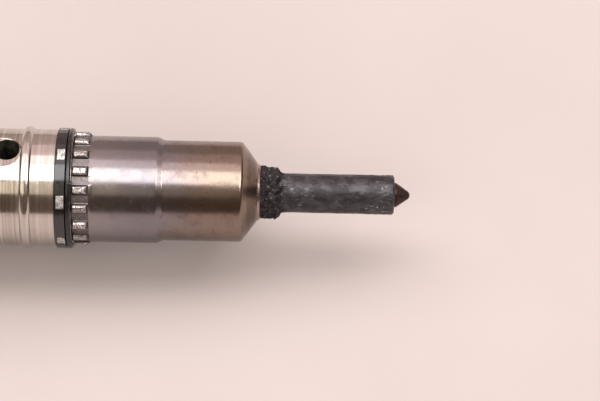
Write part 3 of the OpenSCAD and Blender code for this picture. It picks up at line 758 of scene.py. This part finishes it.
def tooth_rise(angle):
    """How far up a tooth's side an angle is, from 0 to 1."""
    pitch = TURN / TOOTH_COUNT
    off = abs((angle + pitch / 2) % pitch - pitch / 2)
    t = share(TOOTH_FOOT_HALF, TOOTH_TOP_HALF, off)
    return 0.25 * t * t * (3 - 2 * t) + 0.75 * t


def nut_surface(x, angle, r):
    """The nut's surface with its teeth, their bruises and a few faint dents."""
    if r < NUT_UPPER_R - 0.6:
        return r
    dent = 0.012 * roughly(x, angle, r, 0.35, 2)
    if not TOOTH_BACK - 0.01 <= x <= TOOTH_FRONT + 0.01:
        return r + dent
    height = TOOTH_TIP_R - NUT_UPPER_R
    ramp = min(1.0, max(0.0, (TOOTH_FRONT - x) / height))
    back = smooth_step(TOOTH_BACK - 0.01, TOOTH_BACK + 0.12, x)
    rise = min(tooth_rise(angle), ramp) * (0.75 + 0.25 * back)
    middle = smooth_step(0.2, 0.9, ramp) * smooth_step(0.6, 1.0, rise)
    tooth = round(angle / (TURN / TOOTH_COUNT))
    depth = 0.06 + 0.09 * abs(noise.noise(Vector((tooth * 1.7, 4.2, 0))))
    bruise = max(0.0, roughly(x, angle, r, 1.9, 8)) * depth * 2 + max(0.0, roughly(x, angle, r, 5, 3)) * 0.07
    return r + rise * height - middle * bruise


def cap_nut():
    """The nozzle cap nut, with its nose, its step and its wrench teeth."""
    edges = [(NOSE_END, NOSE_BORE_R), (NOSE_END, NOSE_BORE_R + 0.25), (NOSE_END - 0.45, NOSE_BORE_R + 0.5)]
    edges = rounded(edges + [NOSE_SHOULDER], 0.12)[:-1]
    edges += arc(0, NUT_LOWER_R - 1, 1, 35, 90, 8)
    rest = [edges[-1], (NUT_STEP_FRONT, NUT_LOWER_R), (NUT_STEP_BACK, NUT_UPPER_R),
            (TOOTH_FRONT, NUT_UPPER_R)]
    outline = edges + rounded(rest, 0.8, 4)[1:]
    rows = 26
    length = TOOTH_BACK - TOOTH_FRONT
    outline += [(TOOTH_FRONT + length * k / rows, NUT_UPPER_R) for k in range(1, rows + 1)]
    outline += [(TOOTH_BACK - 0.02, NUT_UPPER_R), (NUT_BACK + 0.12, NUT_UPPER_R),
                (NUT_BACK, NUT_UPPER_R - 0.15), (NUT_BACK, NUT_BORE_R),
                (NOSE_END - NOSE_THICKNESS, NUT_BORE_R), (NOSE_END - NOSE_THICKNESS, NOSE_BORE_R)]
    outline = with_rows(outline, NUT_STEP_FRONT, 0, 0.6)
    outline = with_rows(outline, TOOTH_FRONT, NUT_STEP_BACK, 0.8)
    piece = lathe("cap_nut", outline, tooth_angles(), closed=True, shape=nut_surface)
    outward(piece)
    finish_piece(piece, "nut_steel", "nut_steel", "nozzle_cap_nut")

    def toothed(x, y, z):
        return TOOTH_BACK - 0.3 < x < TOOTH_FRONT and math.hypot(y, z) > NUT_UPPER_R - 0.05

    coat(piece, "tooth_steel", toothed)


# ---- Seals ----

def o_ring(name, node, station, tube_r, outer_r):
    """An O-ring with a faint mould line and a slightly uneven lie."""
    def uneven(x, angle, r):
        return r - 0.012 + 0.012 * roughly(x, angle, r, 0.35, 6)

    outline = []
    steps = 28
    for k in range(steps):
        around = TURN * k / steps
        line = 0.985 if k % (steps // 2) else 1.0
        x = station + tube_r * line * math.cos(around)
        outline.append((x, outer_r - tube_r + tube_r * line * math.sin(around)))
    piece = lathe(name, outline, even_angles(240), closed=True, shape=uneven)
    finish_piece(outward(piece), "seal_rubber", "seal_rubber", node)


# ---- Slotted ring ----

def in_window(angle):
    """Whether an angle is in one of the windows."""
    for i in range(WINDOW_COUNT):
        off = (angle - FIRST_WINDOW - i * WINDOW_PITCH + math.pi) % TURN - math.pi
        if abs(off) < WINDOW_HALF - 1e-4:
            return True
    return False


def ring_angles():
    """Angles round the slotted ring, with one at each side of each window."""
    beside = 0.006
    marks = set()
    for i in range(WINDOW_COUNT):
        middle = FIRST_WINDOW + i * WINDOW_PITCH
        for side in (-1, 1):
            for step in (-beside, 0.0, beside):
                marks.add(round((middle + side * (WINDOW_HALF + step)) % TURN, 6))
    for angle in even_angles(180):
        angle = round(angle, 6)
        if all(abs(angle - mark) > 2 * beside for mark in marks):
            marks.add(angle)
    return sorted(marks)


def slotted_ring():
    """The black slotted ring: two rims joined by bars, with windows between them."""
    radii = [GROOVE_R + 0.03, RING_R - 0.01]
    angles = ring_angles()
    count = len(angles)
    stations = [RING_BACK, WINDOW_BACK, WINDOW_FRONT, RING_FRONT]
    points = []
    index = {}

    def corner(i, k, outer):
        key = (i, k % count, outer)
        if key not in index:
            index[key] = len(points)
            points.append(polar(stations[i], radii[outer], angles[k % count]))
        return index[key]

    def solid(i, k):
        if i != 1:
            return i in (0, 2)
        following = angles[(k + 1) % count] + (TURN if k + 1 >= count else 0)
        return not in_window((angles[k] + following) / 2)

    faces = []
    for i in range(3):
        front = i + 1
        for k in range(count):
            if not solid(i, k):
                continue
            after = k + 1
            sides = [[(i, k, 1), (front, k, 1), (front, after, 1), (i, after, 1)],
                     [(i, after, 0), (front, after, 0), (front, k, 0), (i, k, 0)]]
            if not solid(i - 1, k):
                sides.append([(i, after, 1), (i, after, 0), (i, k, 0), (i, k, 1)])
            if not solid(front, k):
                sides.append([(front, k, 1), (front, k, 0), (front, after, 0), (front, after, 1)])
            if not solid(i, (k - 1) % count):
                sides.append([(i, k, 1), (i, k, 0), (front, k, 0), (front, k, 1)])
            if not solid(i, after % count):
                sides.append([(front, after, 1), (front, after, 0), (i, after, 0), (i, after, 1)])
            faces += [[corner(*place) for place in side] for side in sides]
    piece = make_object("slotted_ring_piece", points, faces)
    bevel = piece.modifiers.new("round edges", "BEVEL")
    bevel.width = 0.05 * MM
    bevel.segments = 2
    bevel.limit_method = "ANGLE"
    bevel.angle_limit = math.radians(40)
    bevel.harden_normals = True
    finish_piece(outward(piece), "ring_plastic", "ring_plastic", "slotted_ring")


# ---- Injector body ----

def groove(station, half, outer_r, inner_r):
    """Outline points of a square groove, from its front to its back."""
    front, back = station + half, station - half
    return [(front, outer_r), (front, inner_r), (back, inner_r), (back, outer_r)]


def body_outline():
    """The body's outline, from its front end to its back face, and its bore."""
    nut_face = NUT_BACK - PIECE_GAP
    ring_face = RING_BACK - PIECE_GAP
    edges = [(BODY_FRONT, BODY_BORE_R), (BODY_FRONT, SPIGOT_R), (nut_face, SPIGOT_R), (nut_face, GROOVE_R),
             (ring_face, GROOVE_R), (ring_face, BODY_R - 0.12), (RING_BACK - 0.14, BODY_R),
             (RIDGE_FRONT, BODY_R)]
    outline = rounded(edges, 0.06, 2)
    middle = (RIDGE_FRONT + RIDGE_BACK) / 2
    half = (RIDGE_FRONT - RIDGE_BACK) / 2
    steps = 24
    for k in range(1, steps):
        t = 1 - 2 * k / steps
        swell = (1 - abs(t) ** 2.6) ** 0.8
        outline.append((middle + half * t, BODY_R + (RIDGE_R - BODY_R) * swell))
    edges = [(RIDGE_BACK, BODY_R), *groove(GALLERY_SEAL, 0.7, BODY_R, GROOVE_R)]
    edges += [(TAPER_FRONT, BODY_R), (TAPER_BACK, MIDDLE_R), *groove(UPPER_SEAL, 1, MIDDLE_R, UPPER_GROOVE_R)]
    relief_r = UPPER_R - RELIEF_DEPTH
    runout_r = BODY_THREAD_R - 0.6
    edges += [(UPPER_START, MIDDLE_R), (UPPER_START - 0.6, UPPER_R), (RELIEF_FRONT, UPPER_R),
              (RELIEF_FRONT - RELIEF_DEPTH, relief_r), (RELIEF_BACK + RELIEF_DEPTH, relief_r),
              (RELIEF_BACK, UPPER_R), (UPPER_END + 0.4, UPPER_R),
              (UPPER_END, UPPER_R - 0.4), (UPPER_END, runout_r), (UPPER_END - 1.6, runout_r),
              (UPPER_END - 2.2, BODY_THREAD_R), (BODY_BACK + 0.5, BODY_THREAD_R),
              (BODY_BACK, BODY_THREAD_R - 0.5), (BODY_BACK, CHAMBER_R),
              (BODY_BACK + CHAMBER_DEPTH, CHAMBER_R),
              (BODY_BACK + CHAMBER_DEPTH, BODY_BORE_R), (BODY_FRONT - 2, BODY_BORE_R)]
    return outline + rounded(edges, 0.12)


def box_cutter(low, high):
    """A block that cuts a slot, with rounded inner corners."""
    radius = 0.8
    outline = []
    corners = [(high[0] - radius, high[2] - radius, 0), (low[0] + radius, high[2] - radius, 90),
               (low[0] + radius, low[2] + radius, 180), (high[0] - radius, low[2] + radius, 270)]
    for x, z, start in corners:
        outline += arc(x, z, radius, start, start + 90, 6)
    count = len(outline)
    points = [(x, low[1], z) for x, z in outline] + [(x, high[1], z) for x, z in outline]
    faces = [[k, (k + 1) % count, count + (k + 1) % count, count + k] for k in range(count)]
    faces += [list(range(count))[::-1], list(range(count, 2 * count))]
    return make_object("slot_cutter", points, faces)


def injector_body():
    """The turned body with its fuel inlet, return port and clamp slots."""
    outline = with_rows(body_outline(), RIDGE_BACK - 8, RIDGE_BACK, 0.5)
    piece = outward(lathe("injector_body_piece", outline, even_angles(360), closed=True))
    floor = BODY_R - INLET_MOUTH_DEPTH
    mouth = [(floor, 0), (floor, INLET_MOUTH_R), (BODY_R + 2, INLET_MOUTH_R), (BODY_R + 2, 0)]
    depth = (INLET_SEAT_R - INLET_BORE_R) / math.tan(math.radians(30))
    inside = BODY_BORE_R - 1
    seat = [(inside, 0), (inside, INLET_BORE_R), (floor - depth, INLET_BORE_R), (floor, INLET_SEAT_R),
            (floor + 0.3, INLET_SEAT_R + 0.2), (floor + 0.3, 0)]
    port = [(inside, 0), (inside, RETURN_PORT_R), (MIDDLE_R - 0.45, RETURN_PORT_R),
            (MIDDLE_R + 0.35, RETURN_PORT_R + 0.8), (MIDDLE_R + 0.35, 0)]
    cutters = [port_cutter("mouth_cutter", rounded(mouth, 0.15), INLET, 0),
               port_cutter("seat_cutter", seat, INLET + INLET_WORN, 0, INLET_WORN),
               port_cutter("port_cutter", port, RETURN_PORT, RETURN_ANGLE)]
    for side in (-1, 1):
        near, far = sorted((side * CLAMP_HALF, side * (UPPER_R + 3)))
        cutters.append(box_cutter((CLAMP_BACK, near, -UPPER_R - 3), (CLAMP_FRONT, far, UPPER_R + 3)))
    cut(piece, cutters)
    finish_piece(piece, "body_steel", "body_steel", "injector_body")

    def in_inlet(x, y, z):
        across = math.hypot(x - INLET - INLET_WORN, y - INLET_WORN)
        return across < INLET_SEAT_R + 0.25 and inside - 0.5 < z < floor - 0.02

    # The inlet's inner faces get the painted port shade.
    coat(piece, "painted_port_shade", in_inlet)


def window_lugs():
    """The light metal that shows in the slotted ring's windows."""
    parts = []
    columns, rows = 14, 9
    reach = WINDOW_HALF - 0.004
    back, front = WINDOW_BACK + 0.02, WINDOW_FRONT - 0.02
    for i in range(WINDOW_COUNT):
        middle = FIRST_WINDOW + i * WINDOW_PITCH
        points = []
        for row in range(-1, rows + 2):
            x = back + (front - back) * min(rows, max(0, row)) / rows
            for column in range(-1, columns + 2):
                angle = middle - reach + 2 * reach * min(columns, max(0, column)) / columns
                skirt = row in (-1, rows + 1) or column in (-1, columns + 1)
                rough = 0.05 * roughly(x, angle, RING_R, 1.4, i) + 0.03 * roughly(x, angle, RING_R, 3.6, i)
                points.append(polar(x, RING_R - (0.6 if skirt else 0.10) + rough, angle))
        wide = columns + 3
        faces = [[row * wide + c, row * wide + c + 1, (row + 1) * wide + c + 1, (row + 1) * wide + c]
                 for row in range(rows + 2) for c in range(columns + 2)]
        parts.append(make_object("lug", points, faces))
    piece = joined("window_lugs", parts)
    piece.data.materials.append(MATERIALS["lug_steel"])
    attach(piece, "injector")


# ---- Head ----

def solenoid_sleeve():
    """The sleeve round the solenoid, with the flange that the solenoid nut holds."""
    edges = [(SLEEVE_FRONT, SLEEVE_BORE_R), (SLEEVE_FRONT, SLEEVE_FLANGE_R), (FLANGE_BACK, SLEEVE_FLANGE_R),
             (FLANGE_BACK, SLEEVE_R), (SLEEVE_BACK, SLEEVE_R), (SLEEVE_BACK, SLEEVE_BORE_R)]
    outline = rounded(edges, 0.15, closed=True)
    piece = lathe("solenoid_sleeve_piece", outline, even_angles(200), closed=True)
    finish_piece(outward(piece), "body_steel", "body_steel", "solenoid_sleeve")


def hex_prism(name, envelope, flats, bore_r, side=0.0):
    """A hexagon with flats up and down, turned to an envelope of (station, radius), with a round bore."""
    side_angle = math.pi / 3
    chamfer = 0.35
    half = flats / 2
    corner_r = half / math.cos(side_angle / 2) - 0.012 * half
    outline = [envelope[0]]
    for (x0, r0), (x1, r1) in zip(envelope, envelope[1:]):
        crosses = max(r0, r1) > half and abs(r1 - r0) > 0.05
        parts = 14 if crosses else 2
        outline += [(x0 + (x1 - x0) * k / parts, r0 + (r1 - r0) * k / parts) for k in range(1, parts + 1)]
    back, front = outline[-1][0], outline[0][0]
    inner = [(back, bore_r + chamfer), (back + chamfer, bore_r), (front - chamfer, bore_r),
             (front, bore_r + chamfer)]

    def shape(x, angle, r):
        if r <= bore_r + chamfer + 0.01:
            return r
        off = (angle + side_angle / 2) % side_angle - side_angle / 2
        return min(r, half / math.cos(off), corner_r)

    piece = lathe(name, outline + inner, even_angles(6 * 24), closed=True, shape=shape, side=side)
    outward(piece)
    piece.data.set_sharp_from_angle(angle=math.radians(22))
    return piece


def solenoid_nut():
    """The hexagon nut round the sleeve, with a tapered neck."""
    envelope = [(HEX_FRONT, 13.2), (HEX_FRONT - 1.1, HEX_CORNER_R), (HEX_NECK_FRONT, HEX_CORNER_R),
                (HEX_NECK_BACK, 13), (HEX_BACK, 12.2)]
    piece = hex_prism("solenoid_nut_piece", envelope, 2 * HEX_R, SLEEVE_R + 0.1)
    finish_piece(piece, "plated_steel", "body_steel", "solenoid_nut")


def connector_cap():
    """The moulded cap: a ribbed skirt, a rounded crown and two towers."""
    ribs = 36
    rib_depth = 0.22

    def ribbed(x, angle, r):
        grip = smooth_step(CAP_FRONT - 2.0, CAP_FRONT - 2.8, x)
        grip *= smooth_step(CAP_FRONT - 8.2, CAP_FRONT - 7.4, x)
        return r - (rib_depth * grip * (0.5 + 0.5 * math.cos(ribs * angle)) if r > CAP_R - 0.1 else 0)

    edges = [(CAP_FRONT, SLEEVE_R + 0.05), (CAP_FRONT, CAP_R), (CROWN, CAP_R), (CROWN, 0)]
    outline = with_rows(rounded(edges, 1.0, 5), CROWN + 1.2, CAP_FRONT - 0.8, 0.35)
    parts = [lathe("connector_cap_piece", outline, even_angles(12 * ribs), shape=ribbed)]
    tower = [(CROWN + 0.5, TOWER_R + 0.5), (CROWN, TOWER_R + 0.5), (CROWN - 0.5, TOWER_R),
             (TOWER_BACK, TOWER_R), (TOWER_BACK, TOWER_BORE_R), (TOWER_BACK + 3, TOWER_BORE_R)]
    for side in (-1, 1):
        parts.append(lathe("tower", rounded(tower, 0.25), even_angles(96), side=side * STUD_Y))
    finish_piece(joined("connector_cap_piece", parts), "cap_plastic", "cap_plastic", "connector_cap")


def terminal_stud(side):
    """One stud, with its shoulder and a rolled thread."""
    def threaded(x, angle, r):
        if x > WASHER_BACK or r < 1.5:
            return r
        phase = (x / THREAD_PITCH + side * 0.3 + angle / TURN) % 1.0
        crest = abs(2 * phase - 1)
        return r - THREAD_DEPTH * smooth_step(0.15, 0.85, crest) * smooth_step(STUD_BACK, STUD_BACK + 0.8, x)

    edges = [(STUD_BACK, 0), (STUD_BACK, STUD_R - 0.4), (STUD_BACK + 0.4, STUD_R), (WASHER_FRONT, STUD_R)]
    outline = with_rows(edges, STUD_BACK + 0.4, WASHER_FRONT, THREAD_PITCH / 10)
    shoulder = [(WASHER_FRONT, STUD_R), (WASHER_FRONT, STUD_SHOULDER_R), (TOWER_BACK, STUD_SHOULDER_R),
                (TOWER_BACK, STUD_FOOT_R), (TOWER_BACK + 2, STUD_FOOT_R), (TOWER_BACK + 2, 0)]
    outline += rounded(shoulder, 0.12)[1:]
    return lathe("stud", outline, even_angles(48), shape=threaded, side=side * STUD_Y)


def terminals():
    """Studs, washers and nuts."""
    studs = joined("terminal_studs_piece", [outward(terminal_stud(side)) for side in (-1, 1)])
    finish_piece(studs, "terminal_brass", "terminal_brass", "terminal_studs")
    bore_r = STUD_R + 0.12
    edges = [(WASHER_BACK, bore_r), (WASHER_BACK, WASHER_R), (WASHER_FRONT, WASHER_R), (WASHER_FRONT, bore_r)]
    envelope = [(TERMINAL_NUT_FRONT, 3.6), (TERMINAL_NUT_FRONT - 0.5, TERMINAL_NUT_ROUND_R),
                (TERMINAL_NUT_BACK + 0.5, TERMINAL_NUT_ROUND_R), (TERMINAL_NUT_BACK, 3.6)]
    rings = []
    nuts = []
    for y in (-STUD_Y, STUD_Y):
        outline = rounded(edges, 0.08, 2, closed=True)
        rings.append(outward(lathe("washer", outline, even_angles(96), closed=True, side=y)))
        nuts.append(hex_prism("nut", envelope, 2 * TERMINAL_NUT_R, STUD_R + 0.02, side=y))
    finish_piece(joined("terminal_washers_piece", rings), "plated_steel", "body_steel", "terminal_washers")
    finish_piece(joined("terminal_nuts_piece", nuts), "terminal_brass", "terminal_brass", "terminal_nuts")


# ---- The whole object ----

nozzle()
cap_nut()
o_ring("nut_seal", "nut_o_ring", (SEAL_BACK + SEAL_FRONT) / 2, SEAL_TUBE_R, SEAL_R)
o_ring("gallery_seal", "gallery_o_ring", GALLERY_SEAL, SEAL_TUBE_R, SEAL_R)
o_ring("upper_seal", "upper_o_ring", UPPER_SEAL, UPPER_SEAL_TUBE_R, UPPER_SEAL_R)
slotted_ring()
injector_body()
window_lugs()
solenoid_sleeve()
solenoid_nut()
connector_cap()
terminals()

slot_of = {part["node"]: part["material_slot"] for part in frame["record"]["subparts"]}
for name, node in frame["nodes"].items():
    node.data.materials.clear()
    node.data.materials.append(MATERIALS[slot_of[name]])


# ---- Floor, light and camera ----

def floor():
    """A wide sheet of pale paper under the object."""
    size, steps = 4000, 8
    wide = steps + 1
    level = cad_low.z / MM
    points = [(size * (i / steps - 0.5), size * (k / steps - 0.5), level)
              for i in range(wide) for k in range(wide)]
    faces = [[i * wide + k, (i + 1) * wide + k, (i + 1) * wide + k + 1, i * wide + k + 1]
             for i in range(steps) for k in range(steps)]
    sheet = make_object("floor", points, faces)
    sheet.data.materials.append(floor_paper())


def soft_light(name, middle, size, radiance, colour, aim_x=MIDDLE_X):
    """A rectangular light of a stated brightness, aimed at the object's axis. Places in metres."""
    data = bpy.data.lights.new(name, "AREA")
    data.shape = "RECTANGLE"
    data.size, data.size_y = size
    data.energy = radiance * math.pi * size[0] * size[1]
    data.color = colour
    light = bpy.data.objects.new(name, data)
    light.location = middle
    light.rotation_mode = "QUATERNION"
    light.rotation_quaternion = (Vector((aim_x, 0, 0)) - Vector(middle)).to_track_quat("-Z", "Y")
    light.visible_camera = False
    bpy.context.scene.collection.objects.link(light)
    return light


def direction(elevation, distance, x=MIDDLE_X):
    """A point across the object, by elevation from the front (-Y), through the top, to the back."""
    angle = math.radians(elevation)
    return (x, -distance * math.cos(angle), distance * math.sin(angle))


def lights():
    """White panels, pinkish ones behind, cream ones in front and a strip beyond the nozzle.

    The overhead one shows only in reflections, and the key and the fill show in none.
    """
    overhead = soft_light("overhead", direction(82, 0.60), (1.70, 0.34), 4.3, WHITE)
    overhead.visible_diffuse = False
    key = soft_light("key", direction(114, 0.80), (1.80, 0.72), 1.9, WHITE)
    key.visible_glossy = False
    fill = soft_light("fill", direction(30, 1.20), (2.40, 0.80), 1.8, WHITE)
    fill.visible_glossy = False
    soft_light("back_near", direction(108.5, 0.70), (1.80, 0.20), 1.8, (1.0, 0.88, 0.89))
    soft_light("back_far", direction(129, 0.85), (2.00, 0.44), 0.8, (1.0, 0.80, 0.79))
    soft_light("back_low", direction(160, 1.50), (3.20, 0.98), 0.42, (1.0, 0.80, 0.77))
    soft_light("front_left", direction(50, 0.95, LEFT_X), (1.50, 0.38), 1.30, (1.0, 0.89, 0.69), LEFT_X)
    soft_light("front_right", direction(50, 0.95, RIGHT_X), (1.60, 0.38), 0.22, (1.0, 0.90, 0.82), RIGHT_X)
    soft_light("end_strip", (0.46, -0.10, 0.60), (0.56, 0.07), 7.0, (1.0, 0.94, 0.82))


def world():
    """A dark room in reflections, a brighter one in diffuse light and a pale backdrop."""
    room = bpy.data.worlds.new("studio")
    room.use_nodes = True
    tree = room.node_tree
    path = tree.nodes.new("ShaderNodeLightPath")
    shown = tree.nodes["Background"]
    shown.inputs["Color"].default_value = (0.50, 0.465, 0.45, 1)
    rooms = {"Is Glossy Ray": (0.135, 0.092, 0.068, 1), "Is Camera Ray": (0.80, 0.71, 0.68, 1)}
    for ray, colour in rooms.items():
        other = tree.nodes.new("ShaderNodeBackground")
        other.inputs["Color"].default_value = colour
        mix = tree.nodes.new("ShaderNodeMixShader")
        tree.links.new(path.outputs[ray], mix.inputs["Fac"])
        tree.links.new(shown.outputs[0], mix.inputs[1])
        tree.links.new(other.outputs[0], mix.inputs[2])
        shown = mix
    tree.links.new(shown.outputs[0], tree.nodes["World Output"].inputs["Surface"])
    bpy.context.scene.world = room


def camera():
    """A long lens, in front of and above the nozzle end, as in the photograph. Places in metres."""
    elevation = math.radians(52)
    roll = math.radians(1.22)
    distance = 0.531
    back = Vector((0, -math.cos(elevation), math.sin(elevation)))
    up = Vector((0, math.sin(elevation), math.cos(elevation)))
    target = Vector((0.01095, 0, 0)) - up * 0.00133
    data = bpy.data.cameras.new("camera")
    data.sensor_width = 36
    data.lens = 178
    data.clip_start = 0.01
    data.clip_end = 50
    view = bpy.data.objects.new("camera", data)
    view.location = target + back * distance
    view.rotation_mode = "QUATERNION"
    level = (-back).to_track_quat("-Z", "Y")
    view.rotation_quaternion = level @ Matrix.Rotation(roll, 4, "Z").to_quaternion()
    bpy.context.scene.collection.objects.link(view)
    bpy.context.scene.camera = view


floor()
lights()
world()
camera()
bpy.context.scene.view_settings.view_transform = "Standard"
